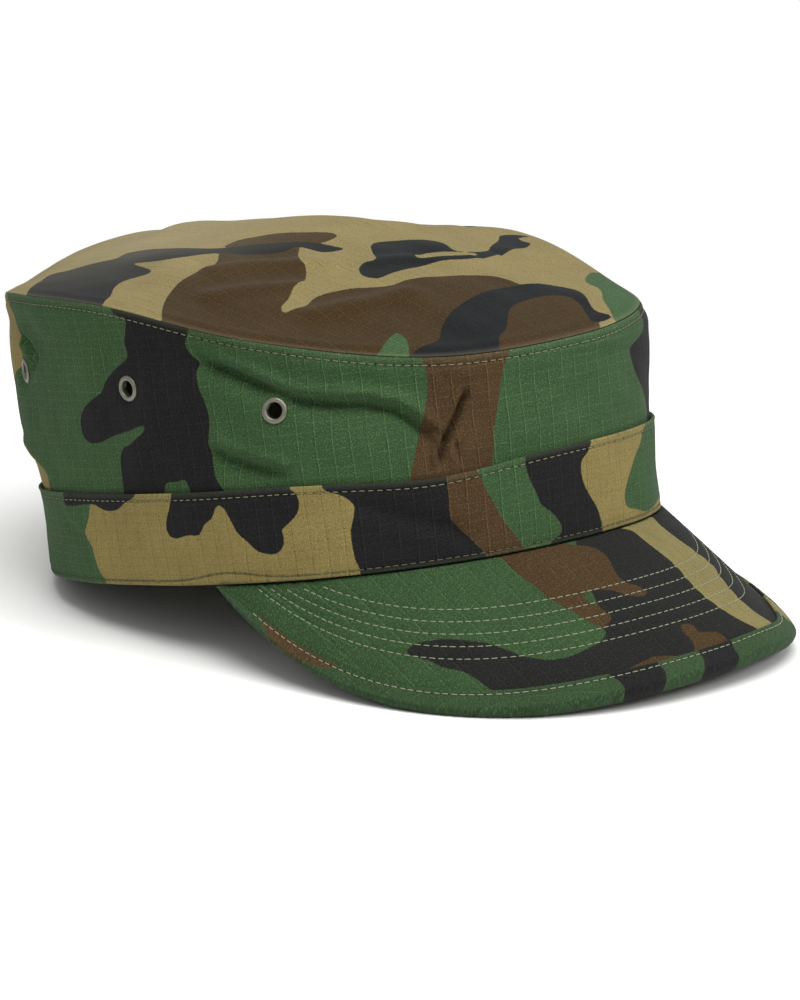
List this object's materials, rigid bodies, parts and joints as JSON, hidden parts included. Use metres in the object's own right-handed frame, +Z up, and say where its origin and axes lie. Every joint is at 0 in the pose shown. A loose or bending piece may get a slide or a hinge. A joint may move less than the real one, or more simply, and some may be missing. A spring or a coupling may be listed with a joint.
{
  "type": "patrol cap",
  "caption": "Soft cloth cap with an upright crown, a domed oval top, a band round the hem, a curved stitched visor and ventilation eyelets, lying by itself.",
  "frame": {"origin": "under the middle of the whole cap, on the surface that it lies on", "axes": "+X the wearer's left, +Y the back of the head, +Z up; the visor points to -Y"},
  "size_m": [0.171, 0.2708, 0.1118],
  "materials": {
    "top_cloth": "ripstop cotton, woodland print, tan and brown",
    "wall_cloth": "ripstop cotton, woodland print, green and black",
    "band_cloth": "ripstop cotton, woodland print, tan and black",
    "visor_cloth": "ripstop cotton, woodland print, green, black and brown",
    "binding_cloth": "ripstop cotton, woodland print, folded strip",
    "eyelet_metal": "dull worn plating"
  },
  "bodies": {
    "root": {"crown_top": "top_cloth", "crown_wall": "wall_cloth", "band": "band_cloth", "visor_top": "visor_cloth", "visor_under": "visor_cloth", "visor_binding": "binding_cloth", "eyelet_right_front": "eyelet_metal", "eyelet_right_middle": "eyelet_metal", "eyelet_right_rear": "eyelet_metal", "eyelet_left_front": "eyelet_metal", "eyelet_left_middle": "eyelet_metal", "eyelet_left_rear": "eyelet_metal"}
  },
  "joints": []
}
